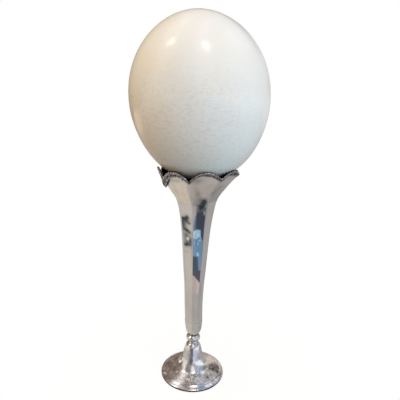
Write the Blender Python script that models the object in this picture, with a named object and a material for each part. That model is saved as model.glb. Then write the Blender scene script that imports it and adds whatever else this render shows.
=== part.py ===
"""Ostrich egg standing in the mouth of an old silver trumpet vase.

Metres, +Z up, origin on the surface the foot stands on, on the axis of the vase.
The view that the object is seen from lies towards -Y; azimuths are counted from it
towards +X. The vase is octagonal, with a lobed mouth. The egg rests in that mouth.
"""

import math

import bmesh
import bpy
import numpy as np

# egg: a blown shell lying upright, leaning a little towards -X
EGG_RADIUS = 0.0650
EGG_ABOVE = 0.0807  # widest level to the top end
EGG_BELOW = 0.0716  # widest level to the lower end
EGG_TAPER = 0.08  # the lower half is a little slimmer
EGG_LEAN = math.radians(-5.0)
EGG_CENTRE = (-0.0004, 0.0, 0.2825)
EGG_SEGMENTS = 40
EGG_RINGS = 22

# trumpet: eight flat panels of sheet silver
PANELS = 8
FIRST_RIDGE = math.radians(34.3)  # azimuth of the ridge right of the middle
SHEET = 0.0010
GAP = 0.00035  # left between soldered pieces
SEAM_Z = 0.0619
TRUMPET = (  # height, radius over the ridges
    (0.0619, 0.0093), (0.080, 0.0096), (0.100, 0.0103), (0.120, 0.0118),
    (0.140, 0.0132), (0.160, 0.0148), (0.172, 0.0163), (0.180, 0.0176),
    (0.186, 0.0189), (0.191, 0.0204), (0.195, 0.0225), (0.199, 0.0252),
    (0.203, 0.0282), (0.208, 0.0319), (0.213, 0.0354), (0.218, 0.0387),
    (0.226, 0.0433),
)
BOW = (  # the old trumpet is bowed: height, shift towards -X
    (0.0610, 0.0002), (0.0850, 0.0008), (0.1800, 0.0009), (0.1920, 0.0014),
    (0.2000, 0.0020), (0.2080, 0.0019), (0.2160, 0.0006), (0.2270, 0.0),
)
LEVEL_ROWS = (SEAM_Z, 0.082, 0.104, 0.126, 0.146, 0.160, 0.173, 0.184)
LOBED_ROWS = (0.22, 0.42, 0.62, 0.81, 1.0)  # shares of the way up to the lobed edge
CUSP_Z = 0.2138  # height of the sheet's edge at the ridges
LOBE_Z = 0.2220  # and in the middle of the panels
LOBE_POWER = 2.2
# the old rim is bent: how far each cusp, and the lobe after it, is out of level
CUSP_BEND = (0.0030, 0.0022, 0.0, 0.0, 0.0, 0.0, -0.0022, 0.0)
LOBE_BEND = (0.0005, -0.0016, 0.0, 0.0, 0.0, 0.0014, -0.0010, 0.0006)

# cast border along the mouth: (height over the sheet's edge, distance out of the sheet)
BORDER = (
    (GAP, GAP), (-0.0023, GAP), (-0.0027, 0.0010), (-0.0018, 0.0020),
    (-0.0004, 0.0023), (0.0009, 0.0018), (0.0016, 0.0004), (0.0013, -0.0011),
    (GAP, -0.0017),
)
BORDER_AT_CUSP = 0.55  # share of its size that the border keeps at a cusp

# base cup, closing the trumpet's lower end: (radius, height)
CUP_OUTER = (
    (0.0044, 0.0459), (0.0053, 0.0463), (0.0066, 0.0475), (0.0078, 0.0498),
    (0.0086, 0.0528), (0.0091, 0.0565), (0.0093, 0.0616),
)
CUP_COLLAR = 0.0076  # ridge radius of the collar inside the trumpet
CUP_COLLAR_TOP = 0.0668
CUP_BORE = 0.0066
CUP_FLOOR = 0.0474

# knop between foot and cup
KNOP = (
    (0.0042, 0.0370), (0.0043, 0.0381), (0.0054, 0.0387), (0.0068, 0.0397),
    (0.0075, 0.0415), (0.0071, 0.0431), (0.0058, 0.0444), (0.0045, 0.0450),
    (0.0044, 0.0456),
)

# foot: outer face from the rim up to the neck, and the inner face down again
FOOT_OUTER = (
    (0.0333, 0.0), (0.0335, 0.0010), (0.0331, 0.0019), (0.0308, 0.0034),
    (0.0280, 0.0047), (0.0250, 0.0057), (0.0226, 0.0059), (0.0202, 0.0065),
    (0.0177, 0.0078), (0.0156, 0.0097), (0.0139, 0.0122), (0.0125, 0.0152),
    (0.0112, 0.0188), (0.0101, 0.0235), (0.0092, 0.0275), (0.0084, 0.0306),
    (0.0074, 0.0332), (0.0060, 0.0351), (0.0043, 0.0362), (0.0042, 0.0367),
)
FOOT_INNER = (
    (0.0032, 0.0343), (0.0052, 0.0338), (0.0066, 0.0322), (0.0076, 0.0296),
    (0.0085, 0.0262), (0.0096, 0.0210), (0.0111, 0.0157), (0.0130, 0.0115),
    (0.0152, 0.0084), (0.0182, 0.0062), (0.0222, 0.0049), (0.0250, 0.0046),
    (0.0277, 0.0036), (0.0312, 0.0019), (0.0319, 0.0),
)

SILVER = (0.86, 0.84, 0.81)
SHELL = (0.83, 0.80, 0.72)


def clear_scene():
    for obj in list(bpy.data.objects):
        bpy.data.objects.remove(obj, do_unlink=True)


def material(name, colour, roughness, metallic):
    mat = bpy.data.materials.new(name)
    mat.use_nodes = True
    shader = mat.node_tree.nodes["Principled BSDF"]
    shader.inputs["Base Color"].default_value = (*colour, 1.0)
    shader.inputs["Roughness"].default_value = roughness
    shader.inputs["Metallic"].default_value = metallic
    mat.diffuse_color = (*colour, 1.0)
    return mat


def finish(name, bm, mat, parent, sharp=35):
    """Make the object of a closed mesh, shaded smooth up to its sharp edges."""
    bmesh.ops.recalc_face_normals(bm, faces=bm.faces)
    mesh = bpy.data.meshes.new(name)
    bm.to_mesh(mesh)
    bm.free()
    mesh.materials.append(mat)
    mesh.shade_smooth()
    mesh.set_sharp_from_angle(angle=math.radians(sharp))
    obj = bpy.data.objects.new(name, mesh)
    bpy.context.scene.collection.objects.link(obj)
    obj.parent = parent
    return obj


def curve_through(points, at):
    """Smooth curve through (x, y) points that never overshoots them, read at x = at."""
    xs, ys = np.array(points).T
    steps = np.diff(xs)
    slopes = np.diff(ys) / steps
    inner = slopes[:-1] * slopes[1:]
    safe = np.where(inner > 0, slopes[:-1] + slopes[1:], 1.0)
    middle = np.where(inner > 0, 2 * inner / safe, 0.0)
    grads = np.concatenate([slopes[:1], middle, slopes[-1:]])
    i = int(np.clip(np.searchsorted(xs, at) - 1, 0, len(steps) - 1))
    t = (at - xs[i]) / steps[i]
    rise = grads[i] * (t**3 - 2 * t**2 + t) + grads[i + 1] * (t**3 - t**2)
    blend = t * t * (3 - 2 * t)
    return float(ys[i] * (1 - blend) + ys[i + 1] * blend + rise * steps[i])


def panel_place(azimuth):
    """Index of the ridge before this azimuth, and the place across its panel, -1 to 1."""
    turn = (azimuth - FIRST_RIDGE) / (2 * math.pi / PANELS)
    ridge = math.floor(turn + 1e-9)
    return ridge % PANELS, 2 * (turn - ridge) - 1


def octagon(azimuth):
    """Share of the ridge radius that the flat panel keeps at this azimuth."""
    across = panel_place(azimuth)[1] * math.pi / PANELS
    return math.cos(math.pi / PANELS) / math.cos(across)


def edge_height(azimuth):
    """Height of the sheet's lobed edge."""
    ridge, place = panel_place(azimuth)
    share = (place + 1) / 2
    bend = CUSP_BEND[ridge] * (1 - share) + CUSP_BEND[(ridge + 1) % PANELS] * share
    low = CUSP_Z + bend * abs(place) ** 0.5
    high = LOBE_Z + LOBE_BEND[ridge]
    return low + (high - low) * (1 - abs(place) ** LOBE_POWER)


def at_azimuth(radius, azimuth, height):
    return (radius * math.sin(azimuth), -radius * math.cos(azimuth), height)


def bowed(point):
    x, y, z = point
    return (x - curve_through(BOW, z), y, z)


def tube_of(loops, closed=False):
    """Skin a list of vertex loops. A closed one joins its last loop to its first."""
    bm = bmesh.new()
    rings = [[bm.verts.new(point) for point in loop] for loop in loops]
    pairs = list(zip(rings, rings[1:]))
    if closed:
        pairs.append((rings[-1], rings[0]))
    for low, high in pairs:
        for i in range(len(low)):
            j = (i + 1) % len(low)
            bm.faces.new((low[i], low[j], high[j], high[i]))
    return bm, rings


def cap(bm, ring, height):
    """Close a ring with triangles to a point on the axis."""
    centre = bm.verts.new((0, 0, height))
    for i in range(len(ring)):
        bm.faces.new((ring[i], ring[(i + 1) % len(ring)], centre))


def turned(name, profile, segments, mat, parent):
    """Solid of revolution, closed onto the axis at both ends of its profile."""
    bm = bmesh.new()
    path = [(0, profile[0][1]), *profile, (0, profile[-1][1])]
    verts = [bm.verts.new((r, 0, z)) for r, z in path]
    edges = [bm.edges.new(pair) for pair in zip(verts, verts[1:])]
    bmesh.ops.spin(
        bm, geom=verts + edges, cent=(0, 0, 0), axis=(0, 0, 1),
        angle=2 * math.pi, steps=segments, use_merge=True,
    )
    bmesh.ops.remove_doubles(bm, verts=bm.verts, dist=1e-6)
    return finish(name, bm, mat, parent)


def make_egg(mat, parent):
    """Egg, modelled about its own widest level and then leant over."""
    bm = bmesh.new()
    bmesh.ops.create_uvsphere(
        bm, u_segments=EGG_SEGMENTS, v_segments=EGG_RINGS, radius=1.0
    )
    for vert in bm.verts:
        x, y, z = vert.co
        girth = EGG_RADIUS * (1 + EGG_TAPER * z * (1 - z * z))
        vert.co = (x * girth, y * girth, z * (EGG_ABOVE if z > 0 else EGG_BELOW))
    obj = finish("egg", bm, mat, parent, 60)
    obj.location = EGG_CENTRE
    obj.rotation_euler = (0, EGG_LEAN, 0)


def wall(height):
    """Ridge radius of the trumpet's outer face, and the sheet's level thickness."""
    radius = curve_through(TRUMPET, height)
    slope = (curve_through(TRUMPET, height + 0.0005) - radius) / 0.0005
    return radius, SHEET * math.hypot(1, slope)


def trumpet_point(azimuth, height, inside):
    radius, thick = wall(height)
    if inside:
        radius -= thick
    return bowed(at_azimuth(radius * octagon(azimuth), azimuth, height))


def make_trumpet(mat, parent):
    """Octagonal trumpet with level rows below and rows that follow the lobes above."""
    columns = PANELS * 6
    azimuths = [FIRST_RIDGE + 2 * math.pi * i / columns for i in range(columns)]
    rows = [[height] * columns for height in LEVEL_ROWS]
    for share in LOBED_ROWS:
        edge = [edge_height(azimuth) for azimuth in azimuths]
        rows.append([LEVEL_ROWS[-1] + (z - LEVEL_ROWS[-1]) * share for z in edge])

    def loop(row, inside):
        return [trumpet_point(a, z, inside) for a, z in zip(azimuths, row)]

    loops = [loop(row, False) for row in rows]
    loops += [loop(row, True) for row in reversed(rows)]
    bm, _ = tube_of(loops, closed=True)
    finish("trumpet", bm, mat, parent, 30)


def make_border(mat, parent):
    """Cast border that laps over the sheet's edge, heavier on the lobes."""
    columns = PANELS * 10
    azimuths = [FIRST_RIDGE + 2 * math.pi * i / columns for i in range(columns)]
    loops = []
    for rise, out in BORDER:
        points = []
        for azimuth in azimuths:
            place = abs(panel_place(azimuth)[1])
            share = 1 - (1 - BORDER_AT_CUSP) * place**3
            up = rise if rise == GAP else rise * share
            away = out * share if out > GAP else out
            height = edge_height(azimuth) + up
            radius = wall(height)[0] * octagon(azimuth)
            points.append(bowed(at_azimuth(radius + away, azimuth, height)))
        loops.append(points)
    bm, _ = tube_of(loops, closed=True)
    finish("rim_border", bm, mat, parent, 30)


def make_cup(mat, parent):
    """Round-bottomed cup with eight panels and a collar up inside the trumpet."""
    columns = PANELS * 4
    azimuths = [FIRST_RIDGE + 2 * math.pi * i / columns for i in range(columns)]
    bottom = CUP_OUTER[0][1]
    full = CUP_OUTER[-2][1]

    def loop(radius, height):
        flat = min(1.0, max(0.0, (height - bottom) / (full - bottom)))
        return [
            at_azimuth(radius * (1 - flat + flat * octagon(a)), a, height)
            for a in azimuths
        ]

    loops = [loop(r, z) for r, z in CUP_OUTER]
    loops.append(loop(CUP_COLLAR, CUP_OUTER[-1][1]))
    loops.append(loop(CUP_COLLAR, CUP_COLLAR_TOP))
    loops.append(loop(CUP_BORE, CUP_COLLAR_TOP))
    loops.append(loop(CUP_BORE, 0.0560))
    loops.append(loop(0.0062, 0.0510))
    loops.append(loop(0.0045, 0.0480))
    bm, rings = tube_of(loops)
    cap(bm, rings[0], bottom)
    cap(bm, rings[-1], CUP_FLOOR)
    finish("base_cup", bm, mat, parent, 35)


def main():
    clear_scene()
    frame = bpy.data.objects.new("stand_axis", None)
    bpy.context.scene.collection.objects.link(frame)
    silver = material("silver", SILVER, 0.18, 1.0)
    dark = material("border_silver", (0.5, 0.48, 0.46), 0.3, 1.0)
    shell = material("eggshell", SHELL, 0.35, 0.0)
    turned("foot", FOOT_OUTER[::-1] + FOOT_INNER[::-1], 40, silver, frame)
    turned("knop", KNOP[::-1], 32, silver, frame)
    make_cup(silver, frame)
    make_trumpet(silver, frame)
    make_border(dark, frame)
    make_egg(shell, frame)


main()
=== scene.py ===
"""Ostrich egg in the lobed mouth of an old silver trumpet vase: the fine model and its finishes.

Metres, +Z up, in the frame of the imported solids. The side that the object is seen from
lies towards -Y, and azimuths are counted from it towards +X.
"""

import math

import bmesh
import bpy
import numpy as np
from bpy.props import FloatProperty, FloatVectorProperty, IntProperty, PointerProperty
from mathutils import Matrix, Vector, noise


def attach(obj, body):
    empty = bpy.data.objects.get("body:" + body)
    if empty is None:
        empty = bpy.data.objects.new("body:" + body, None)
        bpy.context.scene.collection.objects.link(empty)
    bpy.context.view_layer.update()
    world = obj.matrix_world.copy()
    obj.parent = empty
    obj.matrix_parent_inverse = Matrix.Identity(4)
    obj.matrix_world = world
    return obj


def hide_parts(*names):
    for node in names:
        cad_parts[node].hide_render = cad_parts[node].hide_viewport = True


bl_info = {
    "name": "Ostrich Egg on a Trumpet Vase",
    "version": (1, 0, 0),
    "blender": (4, 5, 0),
    "location": "3D View > Sidebar > Egg Stand",
    "description": "Builds an ostrich egg and the old silver trumpet vase that it stands in",
    "category": "Add Mesh",
}

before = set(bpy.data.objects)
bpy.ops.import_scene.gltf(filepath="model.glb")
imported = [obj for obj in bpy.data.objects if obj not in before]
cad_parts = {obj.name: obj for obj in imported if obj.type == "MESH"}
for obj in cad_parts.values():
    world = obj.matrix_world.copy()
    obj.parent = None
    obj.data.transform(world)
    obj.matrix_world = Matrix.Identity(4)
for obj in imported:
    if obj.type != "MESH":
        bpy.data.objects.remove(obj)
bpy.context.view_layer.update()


def in_metres(rows, columns=(0, 1)):
    """Rows of numbers, the given columns turned from millimetres to metres."""
    return [
        tuple(value / 1000 if i in columns else value for i, value in enumerate(row))
        for row in rows
    ]


# ---------------------------------------------------------------- sizes of the vase
# Single sizes are in metres. The tables that in_metres reads are in millimetres.
PANELS = 8
PANEL_TURN = 2 * math.pi / PANELS
FIRST_RIDGE = math.radians(34.3)
SEAM_Z = 0.0619
LEVEL_TOP = 0.1840  # rows of points are level up to here, and follow the lobes above
LEVEL_ROWS = 200
LOBED_ROWS = 56
TRUMPET = in_metres((  # height, radius over the ridges
    (61.9, 9.3), (80, 9.6), (100, 10.3), (120, 11.8), (140, 13.2), (160, 14.8), (172, 16.3),
    (180, 17.6), (186, 18.9), (191, 20.4), (195, 22.5), (199, 25.2), (203, 28.2), (208, 31.9),
    (213, 35.4), (218, 38.7), (226, 43.3),
))
BOW = in_metres((  # the old trumpet is bowed: height, shift towards -X
    (61, 0.2), (85, 0.8), (180, 0.9), (192, 1.4), (200, 2), (208, 1.9), (216, 0.6), (227, 0),
))
CUSP_Z = 0.2138
LOBE_Z = 0.2220
LOBE_POWER = 2.2
CUSP_BEND = (0.0030, 0.0046, 0.0, 0.0, 0.0, 0.0, -0.0022, 0.0)
LOBE_BEND = (0.0005, -0.0016, 0.0, 0.0, 0.0, 0.0014, -0.0010, 0.0006)

# section of the cast border: rise over the sheet's edge, distance out of the sheet
BORDER_SECTION = in_metres((
    (-0.1, 0.1), (-1.4, 0.1), (-2.5, 0.2), (-2.8, 0.8), (-2.2, 1.4), (-1.2, 1.6), (-0.1, 1.6),
    (0.9, 1.3), (1.5, 0.4), (1.4, -0.8), (0.6, -1.4), (0, -1.3),
))
# heaviness of the border all round: azimuth in degrees, share of the section
BORDER_WEIGHT = (
    (-100.7, 0.8), (-90, 0.5), (-78, 0.35), (-66, 0.45), (-58, 1.2), (-55.7, 1.75), (-50, 1.85),
    (-43, 1.5), (-33, 1.15), (-24, 0.9), (-16, 0.8), (-10.7, 0.65), (-5, 0.6), (3, 0.65),
    (12, 0.85), (20, 0.9), (27, 0.95), (34.3, 0.75), (42, 0.6), (50, 0.75), (58, 1.15),
    (66, 1.2), (74, 0.65), (79.3, 0.5), (90, 0.7), (102, 1), (124, 0.75), (147, 1), (169, 0.75),
    (192, 1), (214, 1.1), (237, 1), (259.3, 0.8),
)

CUP_OUTER = in_metres((  # radius over the ridges, height
    (0.1, 45.9), (4.4, 45.9), (5.3, 46.3), (6.6, 47.5), (7.8, 49.8), (8.6, 52.8), (9.1, 56.5),
    (9.3, 60.5), (9.3, 61.7),
))
CUP_INNER = in_metres((
    (8.5, 62.4), (7.8, 62.6), (7.1, 62), (6.8, 56), (6.1, 51), (4.5, 48.2), (0.1, 47.4),
))
CUP_ROUND_TO = 0.0465  # the cup is round below this height, and has flat panels above
CUP_FLAT_FROM = 0.0550
CUP_SHIFT = 0.0002
CUP_COLUMNS = PANELS * 16
SOLDER_COLUMNS = 2 * CUP_COLUMNS
SOLDER_Z = SEAM_Z - 0.0001
SOLDER_HALF = (0.00022, 0.00028)  # half width, half height of the bead
SOLDER_RADIUS = 0.00925
SOLDER_SHIFT = 0.00025
KNOP = in_metres((  # radius, height, as all the turned outlines below
    (0.1, 36.8), (4.2, 36.8), (4.3, 38.1), (5.4, 38.7), (6.8, 39.7), (7.5, 41.5), (7.1, 43.1),
    (5.8, 44.4), (4.5, 45), (4.4, 45.8), (0.1, 45.8),
))
KNOP_NECK = 0.0056  # the knop's necks are dark within this radius
KNOP_NECK_FADE = 0.0012
FOOT_OUTER = in_metres((
    (33.3, 0), (33.5, 1), (33.1, 1.9), (31.6, 2.8), (30.1, 3.7), (29.6, 4.2), (29.1, 4.5),
    (27.5, 5), (25, 5.7), (22.6, 6.4), (20.2, 7.2), (17.7, 8.3), (15.6, 9.9), (13.9, 12.3),
    (12.5, 15.2), (11.2, 18.8), (10.1, 23.5), (9.2, 27.5), (8.4, 30.6), (7.4, 33.2), (6, 35.1),
    (4.3, 36.2), (4.2, 36.8), (0.1, 36.8),
))
FOOT_INNER = in_metres((
    (31.9, 0), (31.2, 1.9), (27.7, 3.6), (25, 4.6), (22.2, 4.9), (18.2, 6.2), (15.2, 8.4),
    (13, 11.5), (11.1, 15.7), (9.6, 21), (8.5, 26.2), (7.6, 29.6), (6.6, 32.2), (5.2, 33.8),
    (3.2, 34.3), (0.1, 34.3),
))
FOOT_CALM = 0.008  # the foot ripples outside this radius
# painted shade along the foot's lowest edge, where it meets the ground
FOOT_PAINTED_SHADE_TO = 0.0015  # dark line where the foot meets the ground
FOOT_STILL_TO = 0.0012  # the edge that rests on the ground keeps its height

# dents in the trumpet: azimuth in degrees, height, half width, half height, depth
TRUMPET_DENTS = in_metres((
    (-33, 154.5, 2.4, 4.8, 0.8), (-35, 173.5, 2.2, 3.2, 0.5), (-44, 166, 1.2, 4, 0.3),
    (6, 159, 1.6, 2.2, 0.12), (16, 154.5, 1.7, 2, 0.12), (8, 150, 1.6, 2.4, 0.12),
    (19, 147, 1.3, 1.4, 0.14), (-36.5, 154.5, 1, 1.3, 0.35),
), columns=(1, 2, 3, 4))
# marks on the trumpet: azimuth in degrees, height, half width, half height, strength
# (below 0 takes a mark away again, or leaves a pale speck). Some are tarnish stains, such
# as the dark patch by the big dent in the left panel. Many are painted shade under the
# border and along the ridges, and painted reflections of the dark room in the panels. The
# pale speck in the big dent is a painted highlight.
TRUMPET_STAINS_AND_PAINTED_LIGHT = in_metres((
    (-33, 176.5, 2.6, 2.6, 1), (-47.5, 174.8, 3, 1.8, 0.9), (-33.5, 171.8, 1.4, 1.2, 0.55),
    (-24, 170.5, 1.6, 1.2, 0.85), (-36, 172.8, 5.5, 3.2, 0.42), (-49, 168.2, 3.4, 6.2, 0.76),
    (-40, 163.7, 2.8, 1.8, 0.75), (-29.5, 162.1, 2.6, 1.7, 0.8), (-21.5, 160.6, 1.4, 1.2, 0.6),
    (-43, 158.2, 3, 2.2, 0.42), (-36, 152.7, 4.4, 6, 0.86), (-21.5, 151.5, 1.2, 4.2, 0.55),
    (-32, 148.5, 3.4, 1.3, 0.5), (-45, 147.6, 2.4, 1.8, 0.7), (-36, 154.1, 1.3, 1.6, -1.9),
    (-38, 140.6, 2.6, 1.6, 0.16), (-56, 168, 1.2, 8, 0.45), (-15, 150, 0.6, 14, 0.35),
    (-2, 216, 7, 3, 0.5), (8, 195.5, 6, 3.6, 0.38), (-24, 202, 2.2, 11, -0.22),
    (-42, 206, 2, 9, 0.16), (0, 208, 2.2, 4, 0.22), (6, 201.5, 2, 3.4, 0.24),
    (13, 196.5, 1.8, 3, 0.22), (34.3, 208, 1, 8, 0.3), (-33, 83, 6, 18, 0.1),
    (-13, 206, 2, 10, 0.2), (-10.7, 160, 0.6, 30, 0.3), (4, 202.2, 3, 3.4, 0.24),
    (39, 202.5, 4.2, 3.6, 0.36), (49, 208, 2.2, 3, 0.42), (28, 192.5, 3, 6, 0.34),
    (-55, 213, 4, 3.6, 0.6), (-36, 214.5, 11, 2.2, 0.34), (22.5, 193.2, 2, 3.8, 0.85),
    (18, 189.5, 3, 4, 0.9), (11.5, 186.5, 3.4, 3, 0.6), (4, 191.5, 4, 3, 0.22),
    (33, 180, 1.4, 11, 0.25), (43, 98.5, 2.4, 12, 0.22), (-58, 130, 1.2, 60, 0.24),
), columns=(1, 2, 3))
# small dents in the foot: azimuth in degrees, radius, half size, depth (below 0 is a rise)
FOOT_DENTS = in_metres((
    (-76, 13.5, 0.7, 0.16), (-101, 22.7, 0.8, 0.14), (-54, 19.4, 0.8, 0.16), (-72, 30, 1, 0.16),
    (-19, 16.9, 0.9, 0.18), (-12, 22.5, 0.9, 0.16), (23, 16.9, 0.9, 0.16), (42, 18.6, 1, 0.18),
    (66, 17.1, 0.9, 0.16), (-84, 19.1, 0.9, 0.14), (-93, 25.3, 0.9, 0.12), (-66, 23, 1.6, 0.18),
    (-112, 19, 1.4, 0.16), (40, 31.8, 2, -0.25), (52, 30, 2.2, 0.3), (62, 23, 3, 0.3),
    (78, 20, 2.2, 0.25), (85, 28, 3, 0.25),
), columns=(1, 2, 3))
# marks on the foot: azimuth in degrees, radius, half size, strength (below 0 is a pale speck).
# The dark ones are stains mixed with painted reflections of the room, and painted shade laid
# over stray reflections. The pale specks are painted glints on the small dents.
FOOT_STAINS_AND_PAINTED_LIGHT = in_metres((
    (43, 24.1, 1.6, 0.85), (76, 22.6, 2.5, 0.8), (75, 28.3, 1.9, 0.8), (97, 21.7, 1.5, 0.75),
    (87, 25.5, 1.7, 0.7), (-78, 12.1, 1.1, 1.2), (-79, 10.8, 1.1, 0.9), (-13, 29.4, 2, 0.4),
    (-5, 30.6, 1.6, 0.45), (-98, 26, 3, 0.55), (-69, 20.5, 2.6, 0.45), (-60, 31.4, 1.8, 0.35),
    (-15, 16.1, 1.4, 0.35), (-118, 20, 2.6, 0.5), (-84, 23.5, 1.6, 0.45), (-105, 23.4, 0.6, -1),
    (-76, 13.9, 0.6, -0.9), (-51, 20, 0.7, -0.9), (-71, 30.6, 0.7, -0.9),
    (-19, 17.4, 0.7, -0.9), (-12, 23.4, 0.8, -0.8), (23, 17.2, 0.8, -0.7), (40, 18.5, 0.8, -1),
    (65, 17.6, 0.7, -0.8), (-10, 25.5, 3, 0.35), (3, 26.2, 2.4, 0.25), (56, 21.8, 1.4, -0.6),
    (-93, 25.3, 0.6, -0.5), (-84, 19.1, 0.6, -0.6), (-98, 20.5, 0.5, -0.6),
    (-62, 24.5, 0.5, -0.5), (-113, 26.5, 0.7, -0.5),
), columns=(1, 2))


# ---------------------------------------------------------------- settings
class EggSettings(bpy.types.PropertyGroup):
    """Size and colour of the egg."""

    radius: FloatProperty(
        name="Radius", description="Half the width of the egg at its widest",
        default=0.0648, min=0.05, max=0.08, unit="LENGTH",
    )
    above: FloatProperty(
        name="Upper height", description="From the widest level to the top end",
        default=0.0805, min=0.06, max=0.1, unit="LENGTH",
    )
    below: FloatProperty(
        name="Lower height", description="From the widest level to the lower end",
        default=0.0716, min=0.06, max=0.1, unit="LENGTH",
    )
    taper: FloatProperty(
        name="Taper", description="How much slimmer the lower half is",
        default=0.08, min=0.0, max=0.3, subtype="FACTOR",
    )
    lean: FloatProperty(
        name="Lean", description="Lean of the egg towards -X",
        default=math.radians(5.0), min=0.0, max=0.3, subtype="ANGLE",
    )
    centre: FloatVectorProperty(
        name="Centre", description="Middle of the widest level",
        default=(-0.0004, 0.0, 0.2825), subtype="XYZ", unit="LENGTH",
    )
    shell_colour: FloatVectorProperty(
        name="Shell", description="Colour of the clean eggshell",
        default=(0.80, 0.785, 0.745), min=0.0, max=1.0, subtype="COLOR",
    )
    pore_colour: FloatVectorProperty(
        name="Pores", description="Colour of the dust in the pores",
        default=(0.50, 0.45, 0.37), min=0.0, max=1.0, subtype="COLOR",
    )


class SilverSettings(bpy.types.PropertyGroup):
    """Size and colours of the silver vase."""

    sheet: FloatProperty(
        name="Sheet", description="Thickness of the raised silver sheet",
        default=0.0009, min=0.0004, max=0.002, unit="LENGTH",
    )
    columns: IntProperty(
        name="Columns", description="Faces across each panel of the trumpet",
        default=16, min=4, max=32,
    )
    silver_colour: FloatVectorProperty(
        name="Silver", description="Colour of the polished silver",
        default=(0.90, 0.88, 0.85), min=0.0, max=1.0, subtype="COLOR",
    )
    bloom_colour: FloatVectorProperty(
        name="Bloom", description="Colour of the thin warm tarnish on the silver",
        default=(0.74, 0.67, 0.58), min=0.0, max=1.0, subtype="COLOR",
    )
    grime_colour: FloatVectorProperty(
        name="Grime", description="Colour of the old tarnish in the border's hollows",
        default=(0.080, 0.066, 0.080), min=0.0, max=1.0, subtype="COLOR",
    )


def settings():
    return bpy.context.scene.egg_settings, bpy.context.scene.silver_settings


# ---------------------------------------------------------------- shapes
CURVE_SAMPLES = 900
MERGE = 1e-6


def curve(points):
    """Function that runs smoothly through (x, y) points and never overshoots them."""
    xs, ys = np.array(points, float).T
    steps = np.diff(xs)
    slopes = np.diff(ys) / steps
    inner = slopes[:-1] * slopes[1:]
    safe = np.where(inner > 0, slopes[:-1] + slopes[1:], 1.0)
    middle = np.where(inner > 0, 2 * inner / safe, 0.0)
    grads = np.concatenate([slopes[:1], middle, slopes[-1:]])
    at = np.linspace(xs[0], xs[-1], CURVE_SAMPLES)
    i = np.clip(np.searchsorted(xs, at) - 1, 0, len(steps) - 1)
    t = (at - xs[i]) / steps[i]
    rise = grads[i] * (t**3 - 2 * t**2 + t) + grads[i + 1] * (t**3 - t**2)
    blend = t * t * (3 - 2 * t)
    values = ys[i] * (1 - blend) + ys[i + 1] * blend + rise * steps[i]
    return lambda x: float(np.interp(x, at, values))


def outline(points, spacing):
    """Points at an even spacing along a smooth outline through (radius, height) points."""
    pts = np.array(points, float)
    run = np.concatenate([[0], np.cumsum(np.hypot(*np.diff(pts, axis=0).T))])
    radius = curve(np.column_stack([run, pts[:, 0]]))
    height = curve(np.column_stack([run, pts[:, 1]]))
    count = max(2, round(run[-1] / spacing))
    return [(radius(s), height(s)) for s in np.linspace(0, run[-1], count + 1)]


def unit(value):
    """The value, kept between 0 and 1."""
    return min(1.0, max(0.0, value))


def azimuth_of(point):
    return math.atan2(point.x, -point.y)


def at_azimuth(radius, azimuth, height):
    return Vector((radius * math.sin(azimuth), -radius * math.cos(azimuth), height))


def spun(profile, steps, start=0.0):
    """Skin of revolution of a (radius, height) profile: a grid rolled up about the axis."""
    bm = bmesh.new()
    last = len(profile) - 1
    bmesh.ops.create_grid(bm, x_segments=steps, y_segments=last, size=1.0)
    for vert in bm.verts:
        turn = start + math.pi * (vert.co.x + 1)
        radius, height = profile[round((vert.co.y + 1) / 2 * last)]
        vert.co = at_azimuth(radius, turn, height)
    bmesh.ops.remove_doubles(bm, verts=bm.verts, dist=MERGE)
    return bm


def face_outwards(bm):
    """Turn the faces of an open skin about the axis so that they look away from it."""
    bmesh.ops.recalc_face_normals(bm, faces=bm.faces)
    looks = 0.0
    for face in bm.faces:
        middle = face.calc_center_median()
        looks += face.normal.x * middle.x + face.normal.y * middle.y
    if looks < 0:
        bmesh.ops.reverse_faces(bm, faces=bm.faces)


def panel_place(azimuth):
    """Index of the ridge before this azimuth, and the place across its panel, -1 to 1."""
    turn = (azimuth - FIRST_RIDGE) / PANEL_TURN
    ridge = math.floor(turn + 1e-6)
    return ridge % PANELS, 2 * (turn - ridge) - 1


def octagon(azimuth):
    """Share of the ridge radius that the flat panel keeps at this azimuth."""
    across = panel_place(azimuth)[1] * math.pi / PANELS
    return math.cos(math.pi / PANELS) / math.cos(across)


def edge_height(azimuth):
    """Height of the lobed edge of the sheet."""
    ridge, place = panel_place(azimuth)
    share = (place + 1) / 2
    bend = CUSP_BEND[ridge] * (1 - share) + CUSP_BEND[(ridge + 1) % PANELS] * share
    low = CUSP_Z + bend * abs(place) ** 0.5
    high = LOBE_Z + LOBE_BEND[ridge]
    return low + (high - low) * (1 - abs(place) ** LOBE_POWER)


ridge_radius = curve(TRUMPET)
bow_at = curve(BOW)
border_weight = curve(BORDER_WEIGHT)


def heavy_at(azimuth):
    """Heaviness of the border at this azimuth."""
    first = BORDER_WEIGHT[0][0]
    return border_weight((math.degrees(azimuth) - first) % 360 + first)


def bell(distance):
    return math.exp(-distance * distance)


def marks_at(marks, azimuth, height, radius, ragged=0.0):
    """Sum of the soft marks at this place on the trumpet."""
    total = 0.0
    for degrees, level, wide, tall, strength in marks:
        turn = (azimuth - math.radians(degrees) + math.pi) % (2 * math.pi) - math.pi
        across = turn * radius / wide
        along = (height - level) / tall
        if abs(across) < 3 and abs(along) < 3:
            total += strength * bell(math.hypot(across, along) + ragged)
    return total


def spots_at(spots, point, ragged=0.0):
    """Sum of the soft round spots at this point of the foot."""
    total = 0.0
    for degrees, radius, size, strength in spots:
        spot = at_azimuth(radius, math.radians(degrees), point.z)
        total += strength * bell((point - spot).length / size + ragged)
    return total


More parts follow.
